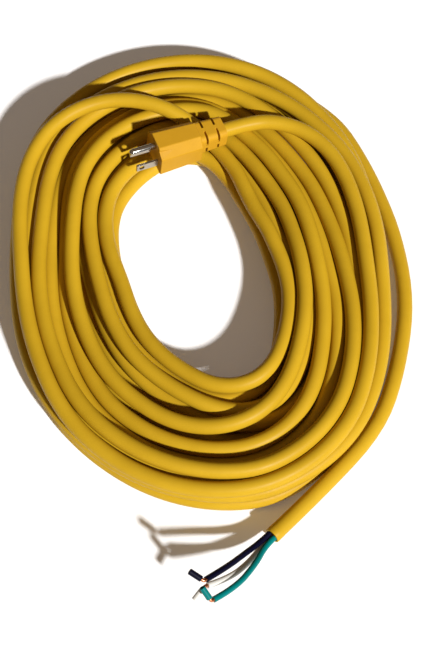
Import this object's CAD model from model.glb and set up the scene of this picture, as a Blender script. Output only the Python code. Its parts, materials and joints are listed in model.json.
import json
from math import cos, pi, radians, sin

import bmesh
import bpy
import numpy as np
from mathutils import Matrix, Vector


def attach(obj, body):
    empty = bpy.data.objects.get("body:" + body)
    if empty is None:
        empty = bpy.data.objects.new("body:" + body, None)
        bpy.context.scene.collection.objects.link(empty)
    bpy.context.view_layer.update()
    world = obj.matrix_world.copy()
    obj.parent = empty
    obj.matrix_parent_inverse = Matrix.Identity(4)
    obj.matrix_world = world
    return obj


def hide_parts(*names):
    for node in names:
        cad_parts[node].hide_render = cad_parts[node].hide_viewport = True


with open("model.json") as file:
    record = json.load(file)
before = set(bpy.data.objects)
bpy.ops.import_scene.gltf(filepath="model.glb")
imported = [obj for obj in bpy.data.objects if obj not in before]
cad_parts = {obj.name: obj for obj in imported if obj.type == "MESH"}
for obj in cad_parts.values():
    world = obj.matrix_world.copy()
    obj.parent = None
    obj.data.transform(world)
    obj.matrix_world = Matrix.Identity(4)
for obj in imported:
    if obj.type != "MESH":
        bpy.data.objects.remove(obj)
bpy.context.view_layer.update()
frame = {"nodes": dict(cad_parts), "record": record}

# ---------------------------------------------------------------- sizes, in metres
MM = 0.001
CORD_DIAMETER = 0.0109
CORD_RADIUS = CORD_DIAMETER / 2
CONDUCTOR_DIAMETER = 0.0040
CONDUCTOR_RING = CONDUCTOR_DIAMETER / 3**0.5 + 0.00006
LEAD_FIRST_RUN = 0.009
BARED_STRANDS = 0.0019
CUT_RING_DEPTH = 0.004
JACKET_WALL = 0.0011
CUT_EDGE = 0.0002
SHARP_ANGLE = radians(35)
FLOOR_HALF = 4.0
FLOOR_GAP = 0.0002

# The cord's loose stretches: from the plug to the coil, and from the coil to the cut end
lead_route = [
    (6.9, 128.0, 39.9), (28.4, 137.1, 37.5), (47.0, 137.0, 36.7), (66.0, 130.5, 36.3),
    (82.5, 116.1, 36.0), (93.4, 95.5, 35.0), (100.0, 73.0, 33.0), (103.8, 50.0, 30.0),
]
tail_route = [
    (91.0, 155.0, 6.5), (104.5, 131.5, 5.6), (117.5, 101.0, 5.5), (130.0, 60.6, 5.5), (135.8, 10.6, 5.5),
    (127.0, -40.6, 5.5), (111.3, -84.6, 5.7), (69.5, -130.5, 8.2), (38.4, -161.6, 12.0),
]

# The coil's outline and hole, seen from above
coil_centre = (-8, 20)
coil_outline = [
    (122, 34), (116.5, -38), (93.5, -97), (42, -136), (-10, -142), (-60, -126), (-105, -88), (-134, -27),
    (-142, 54), (-134, 132), (-98, 181), (-40, 209.5), (20, 207.5), (68, 182), (103, 134), (118, 84),
]
coil_hole = [
    (44, 9), (40, -24), (30, -50), (12, -55), (-12, -43), (-40, -16), (-60, 24),
    (-65, 62), (-50, 90), (-25, 110), (0, 109), (20, 78), (34, 52),
]

# Each turn, from the plug's end to the cut end: how high it lies in the pile, then its lane, from 0 at the
# hole to 1 at the outline, at every 30 degrees clockwise from the right. Each turn runs on into the next.
turns = [
    (20.0, (0.81, 0.865, 0.91, 0.935, 0.92, 0.865, 0.87, 0.89, 0.69, 0.25, 0.05, 0.05)),
    (19.0, (0.09, 0.12, 0.12, 0.14, 0.12, 0.09, 0.07, 0.13, 0.19, 0.12, 0.04, 0.02)),
    (12.0, (0.03, 0.06, 0.15, 0.22, 0.20, 0.18, 0.17, 0.22, 0.27, 0.22, 0.14, 0.12)),
    (14.0, (0.25, 0.31, 0.33, 0.29, 0.27, 0.255, 0.25, 0.28, 0.33, 0.31, 0.235, 0.22)),
    (17.0, (0.235, 0.25, 0.32, 0.50, 0.50, 0.475, 0.46, 0.42, 0.45, 0.40, 0.335, 0.355)),
    (16.0, (0.385, 0.44, 0.555, 0.63, 0.62, 0.57, 0.555, 0.52, 0.53, 0.49, 0.42, 0.42)),
    (15.5, (0.50, 0.585, 0.69, 0.73, 0.735, 0.68, 0.65, 0.60, 0.61, 0.55, 0.50, 0.52)),
    (15.0, (0.61, 0.72, 0.81, 0.82, 0.81, 0.765, 0.735, 0.69, 0.69, 0.62, 0.61, 0.65)),
    (13.0, (0.705, 0.77, 0.85, 0.86, 0.85, 0.85, 0.84, 0.80, 0.77, 0.71, 0.79, 0.89)),
    (11.0, (0.935, 0.97, 0.95, 0.91, 0.90, 0.92, 0.93, 0.93, 0.91, 0.86, 0.88, 0.91)),
    (8.0, (0.84, 0.84, 0.80, 0.76, 0.77, 0.79, 0.80, 0.80, 0.81, 0.82, 0.79, 0.76)),
    (7.0, (0.72, 0.72, 0.72, 0.70, 0.70, 0.70, 0.70, 0.70, 0.70, 0.69, 0.66, 0.61)),
    (6.0, (0.56, 0.50, 0.42, 0.34, 0.31, 0.29, 0.28, 0.30, 0.37, 0.43, 0.44, 0.40)),
    (5.0, (0.28, 0.24, 0.22, 0.23, 0.22, 0.20, 0.20, 0.21, 0.23, 0.23, 0.18, 0.12)),
    (4.0, (0.08, 0.08, 0.12, 0.14, 0.12, 0.09, 0.08, 0.09, 0.10, 0.10, 0.12, 0.15)),
    (3.0, (0.20, 0.22, 0.28, 0.36, 0.36, 0.35, 0.35, 0.35, 0.36, 0.37, 0.35, 0.34)),
    (2.0, (0.36, 0.38, 0.44, 0.50, 0.50, 0.50, 0.50, 0.51, 0.53, 0.55, 0.55, 0.54)),
    (1.0, (0.54, 0.58, 0.61, 0.63, 0.63, 0.64, 0.64, 0.66, 0.69, 0.71, 0.73, 0.76)),
    (0.0, (0.82, 0.94, 1.0, 0.93, 0.89, 0.90, 0.92, 0.92, 0.92, 0.92, 0.95, 1.0)),
]

# Where the turns' points lie: clock angles in degrees, and the low turns' way off the hole in millimetres
COIL_START = 95
COIL_END = 35
LANE_STEP = 30
POINT_STEP = 10
LOW_TURN_SHIFT = 8.6

# How the turns settle: those above SHOWN_RANK are held to their lanes more than the hidden ones
LEAD_FIXED_POINTS = 2
SHOWN_RANK = 10.5
SHOWN_HOLD = 0.10
HIDDEN_HOLD = 0.015
TIGHTEST_BEND = 0.042
NEIGHBOUR_REACH = 0.022
NEIGHBOUR_ROUNDS = 6
EVENING = 0.25
HEIGHT_EVENING = 0.3
FALL = 0.0004
SETTLE_ROUNDS = (260, 120)

# The leads at the cut end: place round the ring, route in millimetres, and length in metres
lead_ends = {
    "black": {
        "angle": 30,
        "route": [(20.0, -176.5, 21.0), (9.0, -188.0, 32.0), (-5.3, -199.5, 41.8)],
        "length": 0.063,
    },
    "white": {
        "angle": 270,
        "route": [(22.6, -181.2, 16.5), (10.2, -193.6, 26.0), (-4.6, -200.9, 34.3)],
        "length": 0.062,
    },
    "green": {
        "angle": 150,
        "route": [(27.5, -182.5, 20.5), (14.5, -201.0, 31.5), (-0.8, -211.4, 39.0)],
        "length": 0.068,
    },
}

# The plug's frame: the middle of its face's bottom edge, and how it lies on the coil
plug_face = Vector((-41.9, 107.3, 33.5)) * MM
plug_yaw = radians(23)
plug_pitch = radians(6)
plug_forward = Vector((-cos(plug_yaw) * cos(plug_pitch), -sin(plug_yaw) * cos(plug_pitch), sin(plug_pitch)))
plug_up = plug_forward.cross(Vector((sin(plug_yaw), -cos(plug_yaw), 0)))
pin_height = 0.0189
pin_profile = [
    (-0.3, 2.08), (0.0, 2.32), (0.2, 2.375), (16.5, 2.375), (17.0, 2.32), (17.5, 2.15), (18.3, 1.78),
    (18.7, 1.56), (18.95, 1.3), (19.12, 0.98), (19.2, 0.6),
]
plug_length = 0.054
plug_half_width = 0.015
relief_start = 0.031
relief_half_width = 0.011
relief_lift = 0.0026


# ---------------------------------------------------------------- camera and light
def aim(thing, target):
    """Turns a camera or light so that it looks at a point."""
    thing.rotation_euler = (Vector(target) - thing.location).to_track_quat("-Z", "Y").to_euler()


def add_camera():
    """Looks down at the coil from in front, 65 degrees above the floor."""
    elevation = radians(65)
    distance = 1.05
    target = Vector((0, -0.009, 0))
    data = bpy.data.cameras.new("camera")
    data.lens = 82.5
    data.sensor_width = 36
    camera = bpy.data.objects.new("camera", data)
    camera.location = target + distance * Vector((0, -cos(elevation), sin(elevation)))
    aim(camera, target)
    bpy.context.scene.collection.objects.link(camera)
    bpy.context.scene.camera = camera


def add_sun(name, direction, strength, angle):
    """A soft distant light that shines from a direction."""
    data = bpy.data.lights.new(name, "SUN")
    data.energy = strength
    data.angle = radians(angle)
    light = bpy.data.objects.new(name, data)
    light.location = Vector(direction)
    aim(light, (0, 0, 0))
    bpy.context.scene.collection.objects.link(light)


def add_studio():
    """Warm surroundings, brightest overhead, a key light from the front right, and a pale floor."""
    world = bpy.data.worlds.new("studio")
    world.use_nodes = True
    tree = world.node_tree
    background = tree.nodes["Background"]
    source = tree.nodes.new("ShaderNodeTexCoord")
    split = tree.nodes.new("ShaderNodeSeparateXYZ")
    tree.links.new(source.outputs["Generated"], split.inputs["Vector"])
    bands = (
        (0.0, (0.04, 0.029, 0.020)), (0.35, (0.08, 0.058, 0.040)),
        (0.6, (0.3, 0.215, 0.15)), (1.0, (0.5, 0.36, 0.25)),
    )
    sky = ramp(tree, split.outputs["Z"], bands)
    tree.links.new(sky, background.inputs["Color"])
    background.inputs["Strength"].default_value = 0.5
    bpy.context.scene.world = world
    bpy.context.scene.view_settings.view_transform = "Standard"
    add_sun("key", (0.4545, -0.645, 0.614), 5.5, 3)
    mesh = bpy.data.meshes.new("floor")
    half = FLOOR_HALF
    corners = [(-half, -half, 0), (half, -half, 0), (half, half, 0), (-half, half, 0)]
    mesh.from_pydata(corners, [], [(0, 1, 2, 3)])
    floor = bpy.data.objects.new("floor", mesh)
    floor.location.z = -FLOOR_GAP
    bpy.context.scene.collection.objects.link(floor)
    mesh.materials.append(floor_material())


# ---------------------------------------------------------------- materials
def new_material(name):
    """An empty node material: returns it with its tree and its shader."""
    material = bpy.data.materials.new(name)
    material.use_nodes = True
    tree = material.node_tree
    return material, tree, tree.nodes["Principled BSDF"]


def noise(tree, scale, detail=3.0, roughness=0.5):
    """A noise texture in the object's own space."""
    source = tree.nodes.new("ShaderNodeTexCoord")
    texture = tree.nodes.new("ShaderNodeTexNoise")
    texture.inputs["Scale"].default_value = scale
    texture.inputs["Detail"].default_value = detail
    texture.inputs["Roughness"].default_value = roughness
    tree.links.new(source.outputs["Object"], texture.inputs["Vector"])
    return texture.outputs["Fac"]


def ramp(tree, source, stops):
    """A colour ramp over a value. Each stop is a place and a colour or a grey."""
    node = tree.nodes.new("ShaderNodeValToRGB")
    elements = node.color_ramp.elements
    while len(elements) < len(stops):
        elements.new(0.5)
    for element, (place, value) in zip(elements, stops):
        element.position = place
        element.color = (*value, 1) if isinstance(value, tuple) else (value, value, value, 1)
    tree.links.new(source, node.inputs["Fac"])
    return node.outputs["Color"]


def mix(tree, amount, first, second):
    """Mixes two colours, sockets or values, by a socket or a number."""
    node = tree.nodes.new("ShaderNodeMix")
    node.data_type = "RGBA"
    for socket, value in ((node.inputs[0], amount), (node.inputs[6], first), (node.inputs[7], second)):
        if isinstance(value, bpy.types.NodeSocket):
            tree.links.new(value, socket)
        else:
            socket.default_value = (*value, 1) if isinstance(value, tuple) else value
    return node.outputs[2]


def bump(tree, height, strength, distance, before=None):
    """A bump from a height socket, laid over an earlier bump if there is one."""
    node = tree.nodes.new("ShaderNodeBump")
    node.inputs["Strength"].default_value = strength
    node.inputs["Distance"].default_value = distance
    tree.links.new(height, node.inputs["Height"])
    if before is not None:
        tree.links.new(before, node.inputs["Normal"])
    return node.outputs["Normal"]


def plastic(name, colour, shade, roughness, grain=900.0, grain_depth=0.00004, scuff=0.12):
    """Satin plastic: a slightly uneven colour, fine grain, faint scuffs and rubbed dirt."""
    material, tree, shader = new_material(name)
    clouds = noise(tree, 28, 4)
    tone = ramp(tree, clouds, ((0.3, shade), (0.7, colour)))
    dust = ramp(tree, noise(tree, 160, 6, 0.65), ((0.55, 0.0), (0.8, scuff)))
    dirt = tuple(part * 0.55 for part in colour)
    tree.links.new(mix(tree, dust, tone, dirt), shader.inputs["Base Color"])
    polish = ramp(tree, noise(tree, 90, 5, 0.6), ((0.25, roughness - 0.07), (0.75, roughness + 0.1)))
    tree.links.new(polish, shader.inputs["Roughness"])
    waves = bump(tree, noise(tree, 110, 2), 0.35, 0.0003)
    fine = bump(tree, noise(tree, grain, 3), 0.5, grain_depth, waves)
    tree.links.new(fine, shader.inputs["Normal"])
    shader.inputs["IOR"].default_value = 1.32
    shader.inputs["Specular IOR Level"].default_value = 0.2
    return material


def metal(name, colour, shade, roughness, tarnish=0.3):
    """Plated or bare metal, a little tarnished and unevenly polished."""
    material, tree, shader = new_material(name)
    shader.inputs["Metallic"].default_value = 1.0
    spots = ramp(tree, noise(tree, 260, 5, 0.6), ((0.45, 0.0), (0.8, tarnish)))
    tree.links.new(mix(tree, spots, colour, shade), shader.inputs["Base Color"])
    wear = noise(tree, 150, 4, 0.6)
    polish = ramp(tree, wear, ((0.3, roughness - 0.03), (0.7, roughness + 0.06)))
    tree.links.new(polish, shader.inputs["Roughness"])
    return material


def floor_material():
    """Matt white paper, lit a little from behind."""
    material, tree, shader = new_material("floor")
    tree.links.new(ramp(tree, noise(tree, 3, 2), ((0.0, 0.87), (1.0, 0.9))), shader.inputs["Base Color"])
    shader.inputs["Roughness"].default_value = 0.9
    shader.inputs["Emission Color"].default_value = (1, 1, 1, 1)
    shader.inputs["Emission Strength"].default_value = 0.06
    return material


materials = {
    "yellow_pvc": plastic("yellow_pvc", (0.49, 0.297, 0.013), (0.44, 0.262, 0.011), 0.42),
    "plug_pvc": plastic("plug_pvc", (0.50, 0.262, 0.013), (0.45, 0.23, 0.011), 0.5, 1400.0, 0.00005),
    "bridge_nylon": plastic("bridge_nylon", (0.72, 0.70, 0.62), (0.66, 0.64, 0.57), 0.5),
    "nickel_plate": metal("nickel_plate", (0.44, 0.40, 0.33), (0.24, 0.19, 0.12), 0.3),
    "polished_nickel": metal("polished_nickel", (0.52, 0.51, 0.48), (0.26, 0.23, 0.18), 0.13),
    "copper": metal("copper", (0.72, 0.27, 0.13), (0.35, 0.10, 0.05), 0.3),
    "black_pvc": plastic("black_pvc", (0.001, 0.001, 0.014), (0.001, 0.001, 0.010), 0.45),
    "white_pvc": plastic("white_pvc", (0.66, 0.64, 0.59), (0.6, 0.58, 0.53), 0.34),
    "green_pvc": plastic("green_pvc", (0.0, 0.165, 0.158), (0.0, 0.135, 0.13), 0.36),
}


def finish_piece(piece, slot, replaced=()):
    """Gives a new piece its material, its slot and the CAD nodes it stands for. It rides on the cord."""
    if not piece.data.materials:
        piece.data.materials.append(materials[slot])
    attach(piece, "cord")
    if replaced:
        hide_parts(*replaced)


# ---------------------------------------------------------------- the coil
def round_trip(corners, steps=40):
    """A closed smooth line through its corners."""
    points = np.array(corners, float)
    share = np.linspace(0, 1, steps, endpoint=False)[:, None]
    spans = []
    for i in range(len(points)):
        window = [points[(i + k) % len(points)] for k in (-1, 0, 1, 2)]
        spans.append(through(window, share))
    return np.vstack(spans)


def through(window, share):
    """The smooth line from the second to the third of four points."""
    before, start, end, after = window
    bend = 2 * before - 5 * start + 4 * end - after
    twist = 3 * start - before - 3 * end + after
    return start + 0.5 * share * (end - before + share * (bend + share * twist))


def reach_by_angle(corners):
    """The distance from the coil's centre to an outline, by clock angle."""
    line = round_trip(corners) - coil_centre
    clock = np.arctan2(line[:, 0], line[:, 1]) % (2 * pi)
    order = np.argsort(clock)
    return clock[order], np.hypot(line[:, 0], line[:, 1])[order]


def lay_turns():
    """Places of the coil's points, seen from above, and how high each lies in the pile."""
    lanes = np.array([lane for _, lanes in turns for lane in lanes])
    clock = np.arange(COIL_START, 360 * len(turns) + COIL_END, POINT_STEP, dtype=float)
    place = (clock - 90) / LANE_STEP
    whole = np.floor(place).astype(int)
    window = [lanes[np.clip(whole + k, 0, len(lanes) - 1)] for k in (-1, 0, 1, 2)]
    lane = through(window, place - whole)
    angle = np.radians(clock) % (2 * pi)
    inner = np.interp(angle, *reach_by_angle(coil_hole), period=2 * pi)
    outer = np.interp(angle, *reach_by_angle(coil_outline), period=2 * pi)
    rank = np.interp((clock - 90) / 360, np.arange(len(turns)) + 0.5, [rank for rank, _ in turns])
    inner += np.where(rank > SHOWN_RANK, 0, LOW_TURN_SHIFT) * np.maximum(0, np.cos(angle))
    reach = inner + lane * (outer - inner)
    seen = np.column_stack([np.sin(angle) * reach, np.cos(angle) * reach]) + coil_centre
    nearest = np.minimum(reach, inner + CORD_RADIUS / MM)
    farthest = np.maximum(reach, outer - CORD_RADIUS / MM)
    return seen * MM, rank, nearest * MM, farthest * MM


def stack(seen, rank):
    """First heights: each point lies on whatever is under it, from the bottom of the pile up."""
    height = np.full(len(seen), CORD_RADIUS)
    laid = np.zeros(len(seen), bool)
    number = np.arange(len(seen))
    for i in np.argsort(rank):
        apart = ((seen - seen[i]) ** 2).sum(1)
        under = laid & (abs(number - i) > 4) & (apart < CORD_DIAMETER**2)
        if under.any():
            height[i] = (height[under] + 0.8 * np.sqrt(CORD_DIAMETER**2 - apart[under])).max()
        laid[i] = True
    return height


def plug_underside(points):
    """How high the cord's centre may be at each point: it passes under the plug."""
    backward = np.array([cos(plug_yaw), sin(plug_yaw)])
    sideways = np.array([-sin(plug_yaw), cos(plug_yaw)])
    offset = points[:, :2] - plug_face.xy
    behind = offset @ backward
    aside = abs(offset @ sideways)
    surface = plug_face.z - sin(plug_pitch) * behind - CORD_RADIUS
    body = (behind > -0.004) & (behind < relief_start) & (aside < plug_half_width)
    relief = (behind >= relief_start) & (behind < plug_length) & (aside < relief_half_width)
    return np.where(body, surface, np.where(relief, surface + relief_lift, 1.0))


def nearest_on_runs(start_a, end_a, start_b, end_b):
    """Where pairs of straight runs come nearest: the share along each, and the gap between them."""
    along_a = end_a - start_a
    along_b = end_b - start_b
    between = start_a - start_b
    aa = (along_a * along_a).sum(1)
    bb = (along_b * along_b).sum(1)
    ab = (along_a * along_b).sum(1)
    a_gap = (along_a * between).sum(1)
    b_gap = (along_b * between).sum(1)
    share_a = np.clip((ab * b_gap - a_gap * bb) / np.maximum(aa * bb - ab * ab, 1e-15), 0, 1)
    share_b = np.clip((ab * share_a + b_gap) / bb, 0, 1)
    share_a = np.clip((ab * share_b - a_gap) / aa, 0, 1)
    gap = between + share_a[:, None] * along_a - share_b[:, None] * along_b
    return share_a, share_b, gap


def push_apart(points, first, second):
    """The move that parts the runs that lie in each other."""
    share_a, share_b, gap = nearest_on_runs(
        points[first], points[first + 1], points[second], points[second + 1],
    )
    distance = np.sqrt((gap * gap).sum(1)) + 1e-9
    hit = distance < CORD_DIAMETER
    a, b, share_a, share_b = first[hit], second[hit], share_a[hit], share_b[hit]
    push = gap[hit] * (0.5 * (CORD_DIAMETER / distance[hit] - 1))[:, None]
    move = np.zeros_like(points)
    weight = np.zeros(len(points))
    ends = ((a, 1 - share_a, 1), (a + 1, share_a, 1), (b, 1 - share_b, -1), (b + 1, share_b, -1))
    for index, share, sign in ends:
        np.add.at(move, index, sign * share[:, None] * push)
        np.add.at(weight, index, share)
    return 1.5 * move / np.maximum(weight, 1)[:, None]


def straighten(points):
    """The move that opens the bends that are tighter than the cord allows."""
    before, corner, after = points[:-2], points[1:-1], points[2:]
    sag = (before + after) / 2 - corner
    size = np.sqrt((sag * sag).sum(1)) + 1e-9
    span = ((after - before) ** 2).sum(1) / 4
    excess = np.maximum(0, 1 - span / (2 * TIGHTEST_BEND) / size)[:, None] * sag
    move = np.zeros_like(points)
    move[1:-1] += 0.5 * excess
    move[:-2] -= 0.25 * excess
    move[2:] -= 0.25 * excess
    return move


def settle(points, free, hold, limits, rounds, clearing):
    """Lets the turns sink onto the floor and each other, stiff as the cord is, near their first lanes."""
    home = points.copy()
    centre = np.array(coil_centre) * MM
    reach = CORD_DIAMETER + NEIGHBOUR_REACH
    for turn in range(rounds + clearing):
        if turn % NEIGHBOUR_ROUNDS == 0:
            middle = (points[1:] + points[:-1]) / 2
            apart = ((middle[:, None] - middle[None]) ** 2).sum(2)
            first, second = np.nonzero(np.triu(apart < reach**2, 3))
        fall = max(0, 1 - turn / rounds)
        drift = points - home
        even_drift = drift.copy()
        even_drift[1:-1] = (drift[:-2] + drift[2:]) / 2
        even_height = points[:, 2].copy()
        even_height[1:-1] = (points[:-2, 2] + points[2:, 2]) / 2
        move = EVENING * (even_drift - drift) - hold[:, None] * drift
        move[:, 2] = HEIGHT_EVENING * (even_height - points[:, 2]) - FALL * fall
        points[free] += move[free]
        for _ in range(2):
            points[free] += straighten(points)[free]
            points[free] += push_apart(points, first, second)[free]
            offset = points[free, :2] - centre
            reach_now = np.hypot(offset[:, 0], offset[:, 1])
            kept = np.clip(reach_now, limits[free, 0], limits[free, 1]) / reach_now
            points[free, :2] = centre + offset * kept[:, None]
            lowest = np.maximum(points[free, 2], CORD_RADIUS)
            points[free, 2] = np.minimum(lowest, plug_underside(points[free]))
    return points


def cord_points():
    """The whole cord's control points: the plug's lead, the settled turns, and the tail."""
    seen, rank, nearest, farthest = lay_turns()
    turns_laid = np.column_stack([seen, stack(seen, rank)])
    lead = np.array(lead_route) * MM
    tail = np.array(tail_route) * MM
    points = np.vstack([lead, turns_laid, tail])
    coiled = slice(len(lead), -len(tail))
    hold = np.full(len(points), SHOWN_HOLD)
    hold[coiled] = np.where(rank > SHOWN_RANK, SHOWN_HOLD, HIDDEN_HOLD)
    limits = np.tile([0.0, 1.0], (len(points), 1))
    limits[coiled] = np.column_stack([nearest, farthest])
    free = slice(LEAD_FIXED_POINTS, -len(tail))
    rounds, clearing = SETTLE_ROUNDS
    return settle(points, free, hold, limits, rounds, clearing)


def smooth_curve(name, points, diameter, steps=5, sides=6):
    """A round cord along a smooth line with these control points."""
    data = bpy.data.curves.new(name, "CURVE")
    data.dimensions = "3D"
    data.bevel_depth = diameter / 2
    data.bevel_resolution = sides
    data.use_fill_caps = True
    data.resolution_u = steps
    spline = data.splines.new("NURBS")
    spline.points.add(len(points) - 1)
    for point, place in zip(spline.points, points):
        point.co = (*place, 1)
    spline.order_u = 3
    spline.use_endpoint_u = True
    curve = bpy.data.objects.new(name, data)
    bpy.context.scene.collection.objects.link(curve)
    return curve


def mesh_piece(name, shape):
    """A new object from a bmesh."""
    bmesh.ops.recalc_face_normals(shape, faces=shape.faces)
    mesh = bpy.data.meshes.new(name)
    shape.to_mesh(mesh)
    shape.free()
    piece = bpy.data.objects.new(name, mesh)
    bpy.context.scene.collection.objects.link(piece)
    mesh.shade_smooth()
    mesh.set_sharp_from_angle(angle=SHARP_ANGLE)
    return piece


def turned(name, profile, origin, direction, solid=False, sides=48):
    """A ring turned about an axis from a closed profile of (along, radius), or a solid with flat ends."""
    shape = bmesh.new()
    facing = Vector(direction).to_track_quat("Z", "Y").to_matrix().to_4x4()
    place = Matrix.Translation(origin) @ facing
    rings = []
    angles = [2 * pi * k / sides for k in range(sides)]
    for along, radius in profile:
        ring = [place @ Vector((radius * cos(a), radius * sin(a), along)) for a in angles]
        rings.append([shape.verts.new(point) for point in ring])
    for ring, after in zip(rings, rings[1:] if solid else rings[1:] + rings[:1]):
        for k in range(sides):
            shape.faces.new((ring[k], ring[(k + 1) % sides], after[(k + 1) % sides], after[k]))
    if solid:
        shape.faces.new(rings[0])
        shape.faces.new(rings[-1])
    return mesh_piece(name, shape)


# ---------------------------------------------------------------- building
add_camera()

points = cord_points()
cut_end = Vector(points[-1])
cut_direction = (cut_end - Vector(points[-2])).normalized()
cut_side = cut_direction.cross(Vector((0, 0, 1))).normalized()
cut_up = cut_side.cross(cut_direction)
points[-1] = cut_end - cut_direction * CUT_RING_DEPTH

jacket = smooth_curve("cord_jacket", points, CORD_DIAMETER)
finish_piece(jacket, "yellow_pvc", replaced=("lead_jacket", "cord_coil", "tail_jacket"))

bore = CORD_RADIUS - JACKET_WALL
ring_profile = [
    (-CUT_RING_DEPTH - 0.004, CORD_RADIUS - 0.0003), (-CUT_RING_DEPTH - 0.002, CORD_RADIUS + 0.00002),
    (-0.0003, CORD_RADIUS), (0, CORD_RADIUS - CUT_EDGE), (0, bore + CUT_EDGE), (-CUT_EDGE, bore),
    (-CUT_RING_DEPTH, bore),
]
cut_ring = turned("cut_jacket", ring_profile, cut_end, cut_direction)
finish_piece(cut_ring, "yellow_pvc")

pin = turned(
    "pin_shell", [(along * MM, radius * MM) for along, radius in pin_profile],
    plug_face + plug_up * pin_height, plug_forward, solid=True,
)
pin.data.materials.append(materials["polished_nickel"])
finish_piece(pin, "nickel_plate", replaced=("ground_pin",))

for colour, lead in lead_ends.items():
    around = cut_side * cos(radians(lead["angle"])) + cut_up * sin(radians(lead["angle"]))
    start = cut_end + around * CONDUCTOR_RING
    route = [start, start + cut_direction * LEAD_FIRST_RUN] + [Vector(point) * MM for point in lead["route"]]
    route[-1] -= (route[-1] - route[-2]).normalized() * BARED_STRANDS
    insulation = smooth_curve(f"{colour}_lead", route, CONDUCTOR_DIAMETER, steps=12, sides=5)
    finish_piece(insulation, f"{colour}_pvc", replaced=(f"{colour}_insulation",))

for sub_part in frame["record"]["subparts"]:
    node = frame["nodes"][sub_part["node"]]
    node.data.materials.clear()
    node.data.materials.append(materials[sub_part["material_slot"]])

add_studio()
